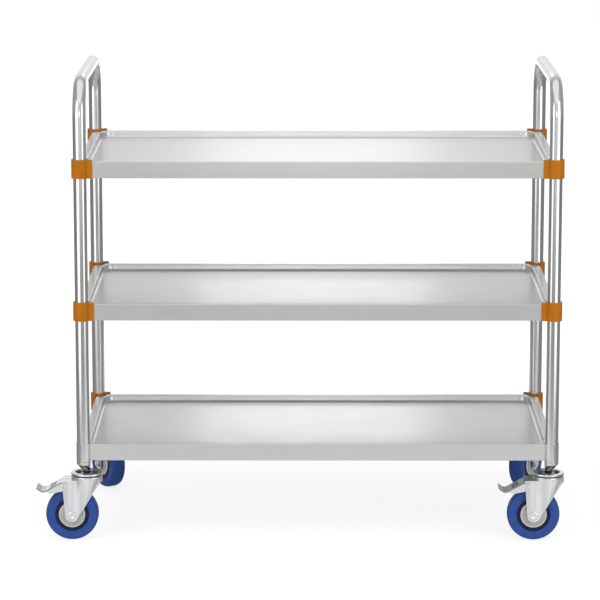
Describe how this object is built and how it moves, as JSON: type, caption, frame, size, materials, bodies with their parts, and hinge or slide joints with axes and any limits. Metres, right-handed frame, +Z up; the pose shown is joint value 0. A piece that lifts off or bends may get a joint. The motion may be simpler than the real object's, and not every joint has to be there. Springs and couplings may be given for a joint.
{
  "type": "serving trolley",
  "caption": "Stainless steel serving trolley: pressed trays stacked between looped end tubes, orange corner brackets and swivel casters with blue tyres, the front ones braked.",
  "frame": {"origin": "on the floor, in the middle of the trolley's box", "axes": "+X along the trolley to the right end, +Y to the rear, +Z up"},
  "size_m": [1.004, 0.49, 0.885],
  "materials": {
    "brushed_stainless_steel": "brushed along the length",
    "polished_stainless_tube": "polished",
    "zinc_plated_steel": "bright zinc plate",
    "orange_plastic": "satin moulded",
    "blue_rubber": "satin",
    "navy_plastic": "satin moulded",
    "grey_plastic": "satin moulded",
    "black_rubber": "matt"
  },
  "bodies": {
    "frame": {"left_end_hoop": "polished_stainless_tube", "right_end_hoop": "polished_stainless_tube", "top_deck": "brushed_stainless_steel", "top_deck_stiffener": "brushed_stainless_steel", "top_front_left_bracket": "orange_plastic", "top_front_right_bracket": "orange_plastic", "top_rear_left_bracket": "orange_plastic", "top_rear_right_bracket": "orange_plastic", "middle_deck": "brushed_stainless_steel", "middle_deck_stiffener": "brushed_stainless_steel", "middle_front_left_bracket": "orange_plastic", "middle_front_right_bracket": "orange_plastic", "middle_rear_left_bracket": "orange_plastic", "middle_rear_right_bracket": "orange_plastic", "bottom_deck": "brushed_stainless_steel", "bottom_deck_stiffener": "brushed_stainless_steel", "bottom_front_left_sleeve": "polished_stainless_tube", "bottom_front_right_sleeve": "polished_stainless_tube", "bottom_rear_left_bracket": "orange_plastic", "bottom_rear_right_bracket": "orange_plastic", "front_left_leg_socket": "polished_stainless_tube", "front_left_caster_head": "zinc_plated_steel", "front_left_swivel_seal": "black_rubber", "front_right_leg_socket": "polished_stainless_tube", "front_right_caster_head": "zinc_plated_steel", "front_right_swivel_seal": "black_rubber", "rear_left_leg_socket": "polished_stainless_tube", "rear_left_caster_head": "zinc_plated_steel", "rear_left_swivel_seal": "black_rubber", "rear_right_leg_socket": "polished_stainless_tube", "rear_right_caster_head": "zinc_plated_steel", "rear_right_swivel_seal": "black_rubber"},
    "front_left_swivel": {"front_left_fork": "zinc_plated_steel", "front_left_axle": "zinc_plated_steel", "front_left_pedal_pin": "zinc_plated_steel"},
    "front_left_brake": {"front_left_brake_pedal": "zinc_plated_steel"},
    "front_left_wheel": {"front_left_tyre": "blue_rubber", "front_left_wheel_centre": "navy_plastic", "front_left_outer_thread_guard": "grey_plastic", "front_left_inner_thread_guard": "grey_plastic"},
    "front_right_swivel": {"front_right_fork": "zinc_plated_steel", "front_right_axle": "zinc_plated_steel", "front_right_pedal_pin": "zinc_plated_steel"},
    "front_right_brake": {"front_right_brake_pedal": "zinc_plated_steel"},
    "front_right_wheel": {"front_right_tyre": "blue_rubber", "front_right_wheel_centre": "navy_plastic", "front_right_outer_thread_guard": "grey_plastic", "front_right_inner_thread_guard": "grey_plastic"},
    "rear_left_swivel": {"rear_left_fork": "zinc_plated_steel", "rear_left_axle": "zinc_plated_steel"},
    "rear_left_wheel": {"rear_left_tyre": "blue_rubber", "rear_left_wheel_centre": "navy_plastic", "rear_left_outer_thread_guard": "grey_plastic", "rear_left_inner_thread_guard": "grey_plastic"},
    "rear_right_swivel": {"rear_right_fork": "zinc_plated_steel", "rear_right_axle": "zinc_plated_steel"},
    "rear_right_wheel": {"rear_right_tyre": "blue_rubber", "rear_right_wheel_centre": "navy_plastic", "rear_right_outer_thread_guard": "grey_plastic", "rear_right_inner_thread_guard": "grey_plastic"}
  },
  "joints": [
    {"name": "front_left_swivel_turn", "type": "hinge", "parent": "frame", "child": "front_left_swivel", "pos_m": [-0.4062, -0.215, 0.118], "axis": [0, 0, 1], "continuous": true},
    {"name": "front_left_wheel_roll", "type": "hinge", "parent": "front_left_swivel", "child": "front_left_wheel", "pos_m": [-0.4342, -0.215, 0.05], "axis": [0, 1, 0], "continuous": true},
    {"name": "front_left_brake_press", "type": "hinge", "parent": "front_left_swivel", "child": "front_left_brake", "pos_m": [-0.4442, -0.215, 0.1075], "axis": [0, -1, 0], "range_deg": [0, 10]},
    {"name": "front_right_swivel_turn", "type": "hinge", "parent": "frame", "child": "front_right_swivel", "pos_m": [0.472, -0.215, 0.118], "axis": [0, 0, 1], "continuous": true},
    {"name": "front_right_wheel_roll", "type": "hinge", "parent": "front_right_swivel", "child": "front_right_wheel", "pos_m": [0.444, -0.215, 0.05], "axis": [0, 1, 0], "continuous": true},
    {"name": "front_right_brake_press", "type": "hinge", "parent": "front_right_swivel", "child": "front_right_brake", "pos_m": [0.434, -0.215, 0.1075], "axis": [0, -1, 0], "range_deg": [0, 10]},
    {"name": "rear_left_swivel_turn", "type": "hinge", "parent": "frame", "child": "rear_left_swivel", "pos_m": [-0.4062, 0.215, 0.118], "axis": [0, 0, 1], "continuous": true},
    {"name": "rear_left_wheel_roll", "type": "hinge", "parent": "rear_left_swivel", "child": "rear_left_wheel", "pos_m": [-0.3922, 0.19075, 0.05], "axis": [-0.866, -0.5, 0], "continuous": true},
    {"name": "rear_right_swivel_turn", "type": "hinge", "parent": "frame", "child": "rear_right_swivel", "pos_m": [0.472, 0.215, 0.118], "axis": [0, 0, 1], "continuous": true},
    {"name": "rear_right_wheel_roll", "type": "hinge", "parent": "rear_right_swivel", "child": "rear_right_wheel", "pos_m": [0.458, 0.19075, 0.05], "axis": [-0.866, 0.5, 0], "continuous": true}
  ]
}
